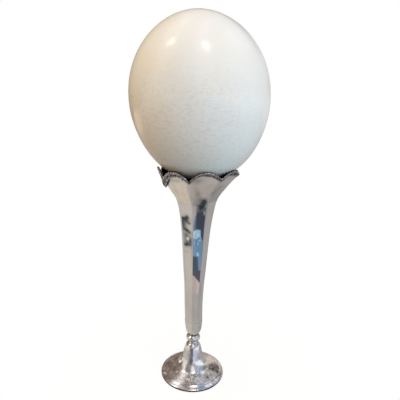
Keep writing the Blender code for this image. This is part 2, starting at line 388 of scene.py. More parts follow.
def trumpet_skin(azimuth, height):
    """Point on the trumpet's outer face."""
    radius = ridge_radius(height) * octagon(azimuth)
    radius -= marks_at(TRUMPET_DENTS, azimuth, height, radius)
    point = at_azimuth(radius, azimuth, height)
    ripple = 0.00006 * noise.noise(Vector((point.x * 60, point.y * 60, height * 45)))
    point += at_azimuth(ripple, azimuth, 0)
    point.x -= bow_at(height)
    return point


def linked_object(name, bm, materials):
    """Object of a finished mesh, linked to the scene."""
    mesh = bpy.data.meshes.new(name)
    bm.to_mesh(mesh)
    bm.free()
    for material in materials:
        mesh.materials.append(material)
    made = bpy.data.objects.new(name, mesh)
    bpy.context.scene.collection.objects.link(made)
    return made


def made_piece(name, bm, finish_names, node):
    """Visible piece of the object, which stands for a node of the frame if one is given."""
    made = finishes()
    piece = linked_object(name, bm, [made[each] for each in finish_names])
    piece.data.shade_smooth()
    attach(piece, "root")
    if node:
        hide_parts(node)
    return piece


def bar_along(bm, path, radii, sides=8):
    """Round bar that follows a path of points, closed at both ends. Gives its vertices."""
    def place(i):
        ahead = path[min(i + 1, len(path) - 1)] - path[max(i - 1, 0)]
        turn = ahead.to_track_quat("Z", "X").to_matrix().to_4x4()
        return Matrix.Translation(path[i]) @ turn @ Matrix.Diagonal((*[radii[i]] * 3, 1))

    made = bmesh.ops.create_circle(
        bm, cap_ends=True, radius=1.0, segments=sides, matrix=place(0)
    )
    ring = made["verts"]
    every = list(ring)
    face = ring[0].link_faces[0]
    for i in range(1, len(path)):
        grown = bmesh.ops.extrude_face_region(bm, geom=[face])["geom"]
        ring = [item for item in grown if isinstance(item, bmesh.types.BMVert)]
        face = next(item for item in grown if isinstance(item, bmesh.types.BMFace))
        step = place(i) @ place(i - 1).inverted()
        bmesh.ops.transform(bm, matrix=step, verts=ring)
        every += ring
    return every


# ---------------------------------------------------------------- material tools
def set_inputs(tree, node, inputs):
    """Join a node's inputs to sockets, or set them to values."""
    for name, value in inputs.items():
        if isinstance(value, bpy.types.NodeSocket):
            tree.links.new(value, node.inputs[name])
        else:
            node.inputs[name].default_value = value


def add_node(tree, kind, inputs=None, **options):
    """Node with its options and inputs set."""
    made = tree.nodes.new(kind)
    for name, value in options.items():
        setattr(made, name, value)
    set_inputs(tree, made, inputs or {})
    return made


def math_node(tree, operation, first, second=0.0, third=0.0, clamp=False):
    inputs = {0: first, 1: second, 2: third}
    return add_node(
        tree, "ShaderNodeMath", inputs, operation=operation, use_clamp=clamp
    ).outputs[0]


def vector_node(tree, operation, *values):
    inputs = dict(enumerate(values))
    return add_node(tree, "ShaderNodeVectorMath", inputs, operation=operation).outputs


def mix_colours(tree, share, first, second):
    """Colour between two others. The numbers are the sockets of a colour mix."""
    inputs = {0: share, 6: first, 7: second}
    return add_node(tree, "ShaderNodeMix", inputs, data_type="RGBA").outputs[2]


def scaled_node(tree, vector, scale):
    """The vector, stretched along each axis."""
    inputs = {"Vector": vector, "Scale": scale}
    return add_node(tree, "ShaderNodeMapping", inputs).outputs[0]


def bump_node(tree, strength, distance, height):
    inputs = {"Strength": strength, "Distance": distance, "Height": height}
    return add_node(tree, "ShaderNodeBump", inputs).outputs[0]


def range_node(tree, value, low, high, to_low=0.0, to_high=1.0):
    """Smooth step of a value from one range to another."""
    inputs = {0: value, 1: low, 2: high, 3: to_low, 4: to_high}
    return add_node(
        tree, "ShaderNodeMapRange", inputs, interpolation_type="SMOOTHSTEP"
    ).outputs[0]


def noise_node(tree, vector, scale, detail=3.0, roughness=0.5):
    inputs = {"Vector": vector, "Scale": scale, "Detail": detail, "Roughness": roughness}
    return add_node(tree, "ShaderNodeTexNoise", inputs).outputs[0]


def new_group(name, wants, gives):
    """Empty shader group with named inputs and outputs."""
    tree = bpy.data.node_groups.new(name, "ShaderNodeTree")
    for label, kind, default in wants:
        made = tree.interface.new_socket(label, in_out="INPUT", socket_type=kind)
        if default is not None:
            made.default_value = default
    for label, kind in gives:
        tree.interface.new_socket(label, in_out="OUTPUT", socket_type=kind)
    return tree, tree.nodes.new("NodeGroupInput").outputs, tree.nodes.new("NodeGroupOutput")


def group_node(tree, group, inputs):
    return add_node(tree, "ShaderNodeGroup", inputs, node_tree=group).outputs


def wear_group():
    """Wear of old silver: thin tarnish clouds, wiping marks and fine scratches."""
    wants = (
        ("Vector", "NodeSocketVector", None),
        ("Cloud Size", "NodeSocketFloat", 70.0),
        ("Tarnish", "NodeSocketFloat", 0.4),
    )
    gives = (
        ("Cloud", "NodeSocketFloat"),
        ("Wiping", "NodeSocketFloat"),
        ("Height", "NodeSocketFloat"),
    )
    tree, given, out = new_group("silver_wear", wants, gives)
    cloud = noise_node(tree, given["Vector"], given["Cloud Size"], 5.0, 0.6)
    amount = range_node(tree, cloud, 0.42, 0.72)
    squeeze = scaled_node(tree, given["Vector"], (1.0, 1.0, 0.12))
    wiping = noise_node(tree, squeeze, 1400.0, 2.0)
    fine = noise_node(tree, squeeze, 3200.0, 2.0, 0.7)
    broad = noise_node(tree, given["Vector"], 150.0, 2.0)
    set_inputs(tree, out, {
        "Cloud": math_node(tree, "MULTIPLY", amount, given["Tarnish"]),
        "Wiping": range_node(tree, wiping, 0.3, 0.75),
        "Height": math_node(tree, "MULTIPLY_ADD", fine, 0.035, broad),
    })
    return tree


def pits_group():
    """Scattered round pits of uneven size, as a mask."""
    wants = (
        ("Vector", "NodeSocketVector", None),
        ("Scale", "NodeSocketFloat", 700.0),
        ("Size", "NodeSocketFloat", 0.25),
        ("Share", "NodeSocketFloat", 0.5),
    )
    tree, given, out = new_group("scattered_pits", wants, (("Mask", "NodeSocketFloat"),))
    cells = add_node(
        tree, "ShaderNodeTexVoronoi",
        {"Vector": given["Vector"], "Scale": given["Scale"], "Randomness": 1.0},
    ).outputs
    near = math_node(tree, "DIVIDE", cells["Distance"], given["Size"])
    round_pit = range_node(tree, near, 0.35, 1.0, 1.0, 0.0)
    pick = add_node(tree, "ShaderNodeSeparateColor", {"Color": cells["Color"]}).outputs[0]
    kept = math_node(tree, "LESS_THAN", pick, given["Share"])
    tree.links.new(math_node(tree, "MULTIPLY", round_pit, kept), out.inputs["Mask"])
    return tree


def new_material(name):
    """Material with its tree, shader and object coordinates."""
    material = bpy.data.materials.new(name)
    material.use_nodes = True
    tree = material.node_tree
    shader = tree.nodes["Principled BSDF"]
    place = add_node(tree, "ShaderNodeTexCoord").outputs["Object"]
    return material, tree, shader, place


EGG_MIDDLE = 0.28
SHELL_WARMTH = (1.02, 0.985, 0.93)  # tint of the faint clouds in the shell
SHELL_ROUGHNESS = (0.13, 0.19)
SHELL_IOR = 1.5
# pale specks of this colour are painted glints
PALE_PAINTED_GLINT = (0.92, 0.90, 0.88)
# name, tarnish, range of roughness, relief, marks all over and how much they vary, colour
# of the marks (the setting where there is none), metallic. The marks are tarnish in the
# border's hollows. On the trumpet and foot they are stains with painted shade and painted
# reflections, and the near-black of the inside is painted shade.
SILVERS = (
    # the blue-grey of the trumpet's marks is mostly painted reflection and painted shade
    ("polished_silver", 0.35, (0.04, 0.10), 0.12, (0.0, 0.0), (0.095, 0.125, 0.145), 1.0),
    ("foot_silver", 0.35, (0.10, 0.17), 0.35, (0.04, 1.3), (0.060, 0.044, 0.036), 1.0),
    ("cast_silver", 0.6, (0.16, 0.30), 0.8, (0.12, 0.5), None, 1.0),
    # painted shade: near black and not metallic, for the inside of the trumpet and the border's
    # inner faces
    ("painted_shade_inside", 0.8, (0.5, 0.6), 0.5, (1.3, 0.5), (0.006, 0.005, 0.005), 0.0),
)


def eggshell_material(egg, pits):
    """Cream eggshell: faint clouds, fine dusty pores and a soft natural gloss."""
    material, tree, shader, place = new_material("cream_eggshell")
    inputs = {"Vector": place, "Location": (0.0, 0.0, -EGG_MIDDLE)}
    place = add_node(tree, "ShaderNodeMapping", inputs).outputs[0]
    cloud = noise_node(tree, place, 22.0, 4.0, 0.55)
    shell = (*egg.shell_colour, 1.0)
    warm = (*(part * tint for part, tint in zip(shell, SHELL_WARMTH)), 1.0)
    colour = mix_colours(tree, range_node(tree, cloud, 0.35, 0.7), shell, warm)

    # the marks fade out towards the top and the right
    across, _, up = add_node(tree, "ShaderNodeSeparateXYZ", {0: place}).outputs
    shown = math_node(
        tree, "MULTIPLY",
        range_node(tree, up, 0.050, -0.010, 0.12, 1.0),
        range_node(tree, across, 0.010, 0.055, 1.0, 0.40),
    )
    wide = scaled_node(tree, place, (0.9, 0.9, 1.15))
    small = group_node(tree, pits, {"Vector": place, "Scale": 620.0, "Size": 0.28})
    large = group_node(tree, pits, {"Vector": wide, "Scale": 430.0, "Share": 0.40})
    pores = math_node(tree, "MAXIMUM", small["Mask"], large["Mask"])
    patch = range_node(tree, noise_node(tree, place, 34.0, 2.0), 0.40, 0.62, 0.18, 0.60)
    dusty = math_node(tree, "MULTIPLY", math_node(tree, "MULTIPLY", pores, patch), shown)
    streak = noise_node(tree, scaled_node(tree, place, (0.65, 0.65, 1.3)), 420.0, 2.0)
    streak = range_node(tree, streak, 0.42, 0.72, 0.0, 0.20)
    dusty = math_node(tree, "MULTIPLY_ADD", streak, shown, dusty)

    gloss = noise_node(tree, place, 90.0, 3.0)
    grain = noise_node(tree, place, 1500.0, 3.0, 0.6)
    swell = noise_node(tree, place, 160.0, 2.0)
    relief = math_node(tree, "SUBTRACT", math_node(tree, "MULTIPLY", grain, 0.25), pores)
    relief = math_node(tree, "MULTIPLY_ADD", swell, 0.8, relief)
    set_inputs(tree, shader, {
        "Base Color": mix_colours(tree, dusty, colour, (*egg.pore_colour, 1.0)),
        "Roughness": range_node(tree, gloss, 0.3, 0.7, *SHELL_ROUGHNESS),
        "IOR": SHELL_IOR,
        "Normal": bump_node(tree, 0.30, 0.00012, relief),
    })
    return material


def silver_material(silver, wear, name, tarnish, rough, relief, dark, stain_and_shade_colour, metal):
    """Old polished silver. The attribute darkens it with tarnish in the hollows and with painted
    shade and painted reflections, and below 0 it leaves pale specks that are painted glints."""
    material, tree, shader, place = new_material(name)
    worn = group_node(tree, wear, {"Vector": place, "Tarnish": tarnish})
    clean = (*silver.silver_colour, 1.0)
    colour = mix_colours(tree, worn["Cloud"], clean, (*silver.bloom_colour, 1.0))
    grime_and_painted_light = add_node(tree, "ShaderNodeAttribute", attribute_name="grime_and_painted_light").outputs["Fac"]
    level, spread = dark
    blotch = noise_node(tree, place, 420.0, 3.0)
    blotch = math_node(tree, "MULTIPLY_ADD", blotch, spread, level - 0.5 * spread)
    grime_and_painted_light = math_node(tree, "ADD", grime_and_painted_light, blotch)
    pale = math_node(tree, "MULTIPLY", grime_and_painted_light, -1.0, clamp=True)
    grime_and_painted_light = math_node(tree, "MAXIMUM", grime_and_painted_light, 0.0, clamp=True)
    colour = mix_colours(tree, grime_and_painted_light, colour, (*(stain_and_shade_colour or silver.grime_colour), 1.0))
    low, high = rough
    gloss = math_node(tree, "MULTIPLY_ADD", worn["Wiping"], high - low, low)
    gloss = math_node(tree, "MULTIPLY_ADD", worn["Cloud"], 0.12, gloss)
    set_inputs(tree, shader, {
        "Base Color": mix_colours(tree, pale, colour, (*PALE_PAINTED_GLINT, 1.0)),
        "Metallic": math_node(tree, "MULTIPLY_ADD", pale, -metal, metal),
        "Specular IOR Level": 0.5 * metal,
        "Roughness": math_node(tree, "MULTIPLY_ADD", grime_and_painted_light, 0.2, gloss),
        "Normal": bump_node(tree, relief, 0.0002, worn["Height"]),
    })
    return material


def finishes():
    """The finishes, made once and then found by name."""
    if "cream_eggshell" not in bpy.data.materials:
        egg, silver = settings()
        wear = wear_group()
        eggshell_material(egg, pits_group())
        for row in SILVERS:
            silver_material(silver, wear, *row)
    return bpy.data.materials


# ---------------------------------------------------------------- pieces
class EGGSTAND_OT_egg(bpy.types.Operator):
    """Ostrich egg, leaning a little in the mouth of the vase"""

    bl_idname = "eggstand.egg"
    bl_label = "Ostrich Egg"

    def execute(self, context):
        egg = settings()[0]
        bm = bmesh.new()
        bmesh.ops.create_uvsphere(bm, u_segments=160, v_segments=96, radius=1.0)
        for vert in bm.verts:
            x, y, z = vert.co
            girth = egg.radius * (1 + egg.taper * z * (1 - z * z))
            tall = egg.above if z > 0 else egg.below
            vert.co = (x * girth, y * girth, z * tall)
        lean = Matrix.Rotation(-egg.lean, 4, "Y")
        place = Matrix.Translation(egg.centre) @ lean
        bmesh.ops.transform(bm, matrix=place, verts=bm.verts)
        bmesh.ops.recalc_face_normals(bm, faces=bm.faces)
        made_piece("ostrich_eggshell", bm, ["cream_eggshell"], "egg")
        return {"FINISHED"}


class EGGSTAND_OT_trumpet(bpy.types.Operator):
    """Eight-panelled trumpet of sheet silver with a lobed mouth"""

    bl_idname = "eggstand.trumpet"
    bl_label = "Trumpet"

    def execute(self, context):
        silver = settings()[1]
        rows = [*np.linspace(0, 1, LEVEL_ROWS), *np.linspace(1, 2, LOBED_ROWS)[1:]]
        bm = spun([(1.0, row) for row in rows], PANELS * silver.columns, FIRST_RIDGE)
        grime_and_painted_light = bm.verts.layers.float.new("grime_and_painted_light")
        for vert in bm.verts:
            azimuth = azimuth_of(vert.co)
            row = vert.co.z
            if row <= 1:
                height = SEAM_Z + (LEVEL_TOP - SEAM_Z) * row
            else:
                height = LEVEL_TOP + (edge_height(azimuth) - LEVEL_TOP) * (row - 1)
            vert.co = trumpet_skin(azimuth, height)
            # the marks are tarnish stains with painted shade, painted reflections and a painted
            # highlight
            ragged = 0.22 * noise.noise(Vector((azimuth * 40, height * 900, 2.0)))
            radius = ridge_radius(height)
            vert[grime_and_painted_light] = marks_at(TRUMPET_STAINS_AND_PAINTED_LIGHT, azimuth, height, radius, ragged)
        face_outwards(bm)
        finish = ["polished_silver", "painted_shade_inside"]
        piece = made_piece("trumpet_body", bm, finish, "trumpet")
        wall = piece.modifiers.new("wall", "SOLIDIFY")
        wall.thickness = silver.sheet
        wall.offset = -1.0
        wall.material_offset = 1
        wall.use_even_offset = True
        return {"FINISHED"}


BORDER_COLUMNS = PANELS * 96
BORDER_LOW = min(BORDER_SECTION)[0]
BORDER_TALL = max(BORDER_SECTION)[0] - BORDER_LOW
# further in than this the border gets the near-black painted shade of the inside
BORDER_INSIDE = -0.0003  # the border is dull where it lies further in than this
LEAF_STEPS = 4.2  # leaves in relief from the middle of a lobe to its cusp
ORNAMENT_OUT = 0.0015  # how far out of the sheet the leaves and beads sit
SCROLL_LEAST = 0.7  # least heaviness of a border with scrolls
SCROLL_RADIUS = 0.0345  # radius of the edge at the scrolls, and at the beads
SCROLL_GRIME = 0.55
BEADS = 5  # on each side of a cusp
BEAD_RADIUS = 0.036
BEAD_GRIME = 0.35
LEAVES = 17  # over each lobe, in each row
LEAF_SIZE = 0.00125
# rows of leaves: least heaviness of the border, turn aside, rise, lean and how much it
# swings, share of the size
LEAF_ROWS = (
    (0.5, 0.0, 0.0002, 0.55, 0.8, 1.0),
    (0.72, 0.02, -0.0012, 2.3, 0.9, 0.95),
    (1.1, -0.015, -0.0022, 1.7, -1.6, 0.85),
)


def border_point(azimuth, rise, out, heavy):
    """Place on the border from its rise over the edge and its distance out of the sheet."""
    height = edge_height(azimuth)
    slope = (ridge_radius(height) - ridge_radius(height - 0.001)) / 0.001
    along = math.atan(slope)
    radius = ridge_radius(height) * octagon(azimuth)
    radius += (rise * math.sin(along) + out * math.cos(along)) * heavy
    level = height + (rise * math.cos(along) - out * math.sin(along)) * heavy
    point = at_azimuth(radius, azimuth, level)
    point.x -= bow_at(height)
    return point


def leaf_relief(azimuth, band):
    """Height of the cast leaves, 0 to 1, at a share of the way up the border."""
    place = panel_place(azimuth)[1]
    step = abs(place) * LEAF_STEPS + 0.35 * band
    part = step - math.floor(step)
    body = max(0.0, math.sin(math.pi * part)) ** 0.7
    rib = 0.45 * bell((part - 0.5) / 0.09)
    height = body * (0.35 + 0.65 * math.sin(math.pi * min(1.0, band * 0.95))) - rib * body
    boss = bell(place / 0.11)
    fan = 0.55 + 0.45 * math.cos(place * 95)
    return height * (1 - boss) + boss * fan * (0.4 + 0.6 * band)


class EGGSTAND_OT_border(bpy.types.Operator):
    """Cast border of leaves and scrolls along the lobed mouth"""

    bl_idname = "eggstand.border"
    bl_label = "Cast Border"

    def execute(self, context):
        section = outline([*BORDER_SECTION, BORDER_SECTION[0]], spacing=0.00036)
        rows = [(1.0, float(i)) for i in range(len(section))]
        bm = spun(rows, BORDER_COLUMNS, FIRST_RIDGE)
        grime_and_painted_light = bm.verts.layers.float.new("grime_and_painted_light")
        inside = set()
        for vert in bm.verts:
            azimuth = azimuth_of(vert.co)
            rise, out = section[round(vert.co.z)]
            if out < BORDER_INSIDE:
                inside.add(vert)
            heavy = heavy_at(azimuth)
            band = unit((rise - BORDER_LOW) / BORDER_TALL)
            face = unit(out / 0.0008)
            relief = leaf_relief(azimuth, band) * face
            rough = noise.noise(Vector((azimuth * 36, rise * 1300, out * 1300)))
            crest = noise.noise(Vector((azimuth * 24, 7.0, 0.0)))
            top = unit((rise - 0.0004) / 0.0006) if out > -0.0006 else 0.0
            vert.co = border_point(
                azimuth,
                rise + (0.00035 * relief if rise > 0 else 0.0) + 0.00040 * crest * top,
                out * 0.9 + 0.00065 * relief + 0.00055 * rough * face,
                heavy,
            )
            lip = unit((rise - 0.0006) / 0.0005) * face
            bright = 0.5 + noise.noise(Vector((azimuth * 12, 3.0, 0.0)))
            dark = 1.10 - 0.55 * relief - 0.7 * rough - 0.8 * lip * bright
            dark -= top * (0.30 + 0.5 * crest)
            vert[grime_and_painted_light] = unit(dark)
        for face in bm.faces:
            face.material_index = int(not inside.isdisjoint(face.verts))
        bmesh.ops.remove_doubles(bm, verts=bm.verts, dist=MERGE)
        for ridge in range(PANELS):
            azimuth = FIRST_RIDGE + PANEL_TURN * ridge
            heavy = heavy_at(azimuth)
            few = bmesh.new()
            few_grime = few.verts.layers.float.new("grime_and_painted_light")
            if heavy > SCROLL_LEAST:
                for hand in (-1, 1):
                    volute(few, azimuth, hand, heavy, few_grime)
            beads(few, azimuth, heavy, few_grime)
            leaves(few, azimuth, few_grime)
            joined = bpy.data.meshes.new("ornament")
            few.to_mesh(joined)
            few.free()
            bm.from_mesh(joined)
            bpy.data.meshes.remove(joined)
        bmesh.ops.recalc_face_normals(bm, faces=bm.faces)
        finish = ["cast_silver", "painted_shade_inside"]
        made_piece("leaf_border", bm, finish, "rim_border")
        return {"FINISHED"}


def leaf(bm, azimuth, rise, lean, size, grime_and_painted_light):
    """Small cast leaf on the face of the border, leaning from the upright."""
    heavy = heavy_at(azimuth)
    root = border_point(azimuth, rise, ORNAMENT_OUT, heavy)
    side = (border_point(azimuth + 0.01, rise, ORNAMENT_OUT, heavy) - root).normalized()
    up = (border_point(azimuth, rise + 0.0005, ORNAMENT_OUT, heavy) - root).normalized()
    out = side.cross(up).normalized()
    ahead = up * math.cos(lean) + side * math.sin(lean)
    wide = out.cross(ahead)
    made = bmesh.ops.create_uvsphere(bm, u_segments=8, v_segments=6, radius=1.0)
    for vert in made["verts"]:
        x, y, z = vert.co
        slim = 0.48 * (1 - 0.4 * z)
        curl = 0.30 * max(0.0, z) ** 2
        vert.co = root + size * (wide * x * slim + out * (0.40 * y + curl) + ahead * (z + 0.5))
        vert[grime_and_painted_light] = unit(0.95 - 0.75 * y - 0.35 * z)


def leaves(bm, azimuth, grime_and_painted_light):
    """Rows of leaves over the lobe that starts at this ridge, more where it is heavy."""
    for i in range(LEAVES):
        share = (i + 0.5) / LEAVES
        place = azimuth + PANEL_TURN * share
        flow = 1 if share > 0.5 else -1
        swing = noise.noise(Vector((place * 31, 1.0, 0.0)))
        heavy = heavy_at(place)
        size = LEAF_SIZE * (0.45 + 0.55 * heavy) * (1 + 0.8 * swing)
        for least, aside, rise, lean, sway, part in LEAF_ROWS:
            if heavy >= least:
                tilt = flow * (lean + sway * swing)
                leaf(bm, place + aside, rise, tilt, size * part, grime_and_painted_light)


def volute(bm, azimuth, hand, heavy, grime_and_painted_light):
    """Scroll that curls up beside a cusp, one on each side."""
    aside, level, size, windings = 0.0021, -0.0006, 0.00135, 1.3
    path = []
    radii = []
    for share in np.linspace(0, 1, 26).tolist():
        turn = 2 * math.pi * windings * share
        reach = size * (1 - 0.72 * share)
        across = hand * (aside + reach * math.cos(turn))
        rise = level + reach * math.sin(turn)
        place = azimuth + across * (0.75 + 0.25 * heavy) / SCROLL_RADIUS
        path.append(border_point(place, rise, 0.0016 + 0.0005 * share, heavy_at(place)))
        radii.append((0.00048 - 0.00014 * share) * (0.6 + 0.4 * heavy))
    for vert in bar_along(bm, path, radii):
        vert[grime_and_painted_light] = SCROLL_GRIME


def beads(bm, azimuth, heavy, grime_and_painted_light):
    """Row of graded beads on each side of a cusp."""
    for hand in (-1, 1):
        for i in range(BEADS):
            size = (0.00062 - 0.00004 * i) * (0.7 + 0.3 * heavy)
            turn = azimuth + hand * (0.0052 + 0.0013 * i) / BEAD_RADIUS
            place = border_point(turn, 0.0006, ORNAMENT_OUT, heavy_at(turn))
            made = bmesh.ops.create_icosphere(
                bm, subdivisions=2, radius=size, matrix=Matrix.Translation(place)
            )
            for vert in made["verts"]:
                vert[grime_and_painted_light] = BEAD_GRIME


class EGGSTAND_OT_base_cup(bpy.types.Operator):
    """Round-bottomed cup that closes the lower end, and the soldered joint above it"""

    bl_idname = "eggstand.base_cup"
    bl_label = "Base Cup"

    def execute(self, context):
        profile = outline([*CUP_OUTER, *CUP_INNER], spacing=0.00035)
        bm = spun(profile, CUP_COLUMNS, FIRST_RIDGE)
        for vert in bm.verts:
            azimuth = azimuth_of(vert.co)
            flat = unit((vert.co.z - CUP_ROUND_TO) / (CUP_FLAT_FROM - CUP_ROUND_TO))
            flat = flat * flat * (3 - 2 * flat)
            share = 1 - flat + flat * octagon(azimuth)
            vert.co.x *= share
            vert.co.y *= share
            vert.co.x -= CUP_SHIFT * flat
        bmesh.ops.recalc_face_normals(bm, faces=bm.faces)
        made_piece("round_cup", bm, ["polished_silver"], "base_cup")
        solder_bead()
        return {"FINISHED"}


def solder_bead():
    """Uneven bead of solder round the joint between cup and trumpet."""
    middle = 0.02
    wide, tall = SOLDER_HALF
    turns = np.linspace(0, 2 * math.pi, 11)
    ring = [(middle + wide * math.cos(a), tall * math.sin(a)) for a in turns]
    bm = spun(ring, SOLDER_COLUMNS, FIRST_RIDGE)
    grime_and_painted_light = bm.verts.layers.float.new("grime_and_painted_light")
    for vert in bm.verts:
        azimuth = azimuth_of(vert.co)
        out = math.hypot(vert.co.x, vert.co.y) - middle
        ragged = noise.noise(Vector((azimuth * 9, 1.7, 0.0)))
        lumps = noise.noise(Vector((azimuth * 40, vert.co.z * 3000, 5.0)))
        radius = SOLDER_RADIUS * octagon(azimuth) + out * (1 + 0.8 * ragged) + 0.00006 * lumps
        level = SOLDER_Z + vert.co.z * (1 + 0.6 * ragged) + 0.00022 * ragged
        vert.co = at_azimuth(radius, azimuth, level)
        vert.co.x -= SOLDER_SHIFT
        vert[grime_and_painted_light] = unit(-0.2 - 2.6 * ragged + 1.2 * lumps)
    bmesh.ops.recalc_face_normals(bm, faces=bm.faces)
    made_piece("solder_bead", bm, ["polished_silver"], None)


class EGGSTAND_OT_knop(bpy.types.Operator):
    """Squashed ball between the foot and the cup"""

    bl_idname = "eggstand.knop"
    bl_label = "Knop"

    def execute(self, context):
        bm = spun(outline(KNOP, spacing=0.00025), steps=112)
        grime_and_painted_light = bm.verts.layers.float.new("grime_and_painted_light")
        for vert in bm.verts:
            radius = math.hypot(vert.co.x, vert.co.y)
            vert[grime_and_painted_light] = 0.8 * unit((KNOP_NECK - radius) / KNOP_NECK_FADE)
        bmesh.ops.recalc_face_normals(bm, faces=bm.faces)
        made_piece("ball_knop", bm, ["foot_silver"], "knop")
        return {"FINISHED"}


class EGGSTAND_OT_foot(bpy.types.Operator):
    """Spun bell foot with a dented outer band"""

    bl_idname = "eggstand.foot"
    bl_label = "Bell Foot"

    def execute(self, context):
        outer = outline(FOOT_OUTER[::-1], spacing=0.00036)
        inner = outline(FOOT_INNER, spacing=0.0011)
        bm = spun(outer + inner, steps=384)
        grime_and_painted_light = bm.verts.layers.float.new("grime_and_painted_light")
        for vert in bm.verts:
            radius = math.hypot(vert.co.x, vert.co.y)
            wave = noise.noise(Vector((vert.co.x * 70, vert.co.y * 70, 3.0)))
            shift = 0.00010 * wave * unit((radius - FOOT_CALM) / 0.01)
            shift -= spots_at(FOOT_DENTS, vert.co)
            # stains with painted reflections and painted shade, and pale painted glints
            ragged = 0.30 * noise.noise(vert.co * 900)
            vert[grime_and_painted_light] = spots_at(FOOT_STAINS_AND_PAINTED_LIGHT, vert.co, ragged)
            # painted shade: the foot's lowest edge is darkened
            if vert.co.z < FOOT_PAINTED_SHADE_TO:
                vert[grime_and_painted_light] = 0.9
            if vert.co.z > FOOT_STILL_TO:
                vert.co.z += shift
        bmesh.ops.recalc_face_normals(bm, faces=bm.faces)
        made_piece("bell_foot", bm, ["foot_silver"], "foot")
        return {"FINISHED"}


# ---------------------------------------------------------------- stage
CAMERA_PITCH = math.radians(12.36)
CAMERA_ROLL = math.radians(1.88)
CAMERA_PLACE = (0.0025, -0.3568, 0.2693)
CAMERA_LENS = 33.378
# soft lights round the object: azimuth and elevation in degrees, colour
LIGHTS = (
    (0, 80, (0, 0, 0.08)), (20, 50, (0.75, 0.8, 1.11)), (-134, 50, (0.19, 0.28, 0.32)),
    (-83, 50, (0.66, 0.66, 0.39)), (-31, 50, (0.85, 0.73, 0.49)), (0, 15, (0.28, 0.25, 0)),
    (36, 15, (0.92, 1.09, 1.36)), (72, 15, (0.71, 0.58, 0.6)), (-144, 15, (0.65, 0.81, 0.88)),
    (-108, 15, (0.91, 0.71, 0.21)), (-72, 15, (0.35, 0, 0)), (36, -20, (0, 0.06, 0.16)),
    (72, -20, (0.39, 0.78, 0.96)), (108, -20, (0.37, 0.21, 0)), (180, -20, (0.04, 0.06, 0.14)),
    (-144, -20, (0.09, 0, 0.04)), (174, 50, (0.14, 0.11, 0)), (144, 15, (0.28, 0.21, 0.04)),
    (180, 15, (0.22, 0.22, 0.17)),
)
LIGHT_FOCUS = 5.0
# the room that only the silver mirrors, painted in this order on a plain ground:
# azimuth, elevation, half width and half height in degrees, softness of the edge, colour
ROOM = (
    (62, 30, 48, 45, 0.5, (0.38, 0.43, 0.57)),
    (35, 84, 70, 10, 0.6, (0.67, 0.63, 0.67)),
    (162, 78, 32, 14, 0.6, (1.1, 1.05, 1.09)),
    (-112, 81, 75, 9, 0.5, (0.4, 0.35, 0.36)),
    (-108, 30, 58, 43, 0.25, (0.94, 0.88, 0.86)),
    (-137, 25, 50, 34, 0.3, (0.225, 0.175, 0.152)),
    (-33, 25, 22, 40, 0.6, (0.27, 0.25, 0.255)),
    (6, 42, 15, 32, 0.45, (0.95, 0.93, 0.96)),
    (62, -2, 52, 8, 0.5, (0.96, 1.05, 1.12)),
    (30, -9, 26, 8, 0.5, (0.57, 0.64, 0.84)),
    (-13, -5, 19, 13, 0.6, (0.14, 0.125, 0.145)),
    (96, 73, 22, 8, 0.5, (0.28, 0.34, 0.45)),
    (101, 52, 12, 9, 0.5, (0.66, 0.74, 0.92)),
    (108, 22, 20, 17, 0.7, (0.25, 0.25, 0.27)),
    (164, 52, 24, 12, 0.25, (0.44, 0.43, 0.45)),
    (152, 31, 19, 8, 0.3, (0.155, 0.125, 0.115)),
    (160, 10, 10, 14, 0.6, (0.67, 0.6, 0.55)),
    (140, -2, 18, 7, 0.6, (0.69, 0.68, 0.67)),
    (-66, -2, 24, 7, 0.5, (0.85, 0.8, 0.8)),
    (-125, -3, 30, 8, 0.6, (0.14, 0.1, 0.095)),
    (-127, -13, 14, 7, 0.5, (1.25, 1.05, 0.86)),
    (48, -24, 34, 6, 0.5, (0.17, 0.185, 0.23)),
    (-108, -52, 14, 9, 0.6, (0.62, 0.55, 0.47)),
    (140, -36, 16, 7, 0.6, (0.3, 0.285, 0.28)),
    (-76, 56, 5, 6, 0.5, (7, 6.7, 6.3)),
    (14, 61, 5, 6, 0.5, (7, 6.8, 6.6)),
)
ROOM_SWAY = (0.16, 0.16, 0.12)  # how far the patches' edges waver
ROOM_ABOVE = (0.43, 0.40, 0.39)
ROOM_BELOW_LEFT = (0.55, 0.515, 0.475)
ROOM_BELOW_RIGHT = (0.395, 0.38, 0.385)
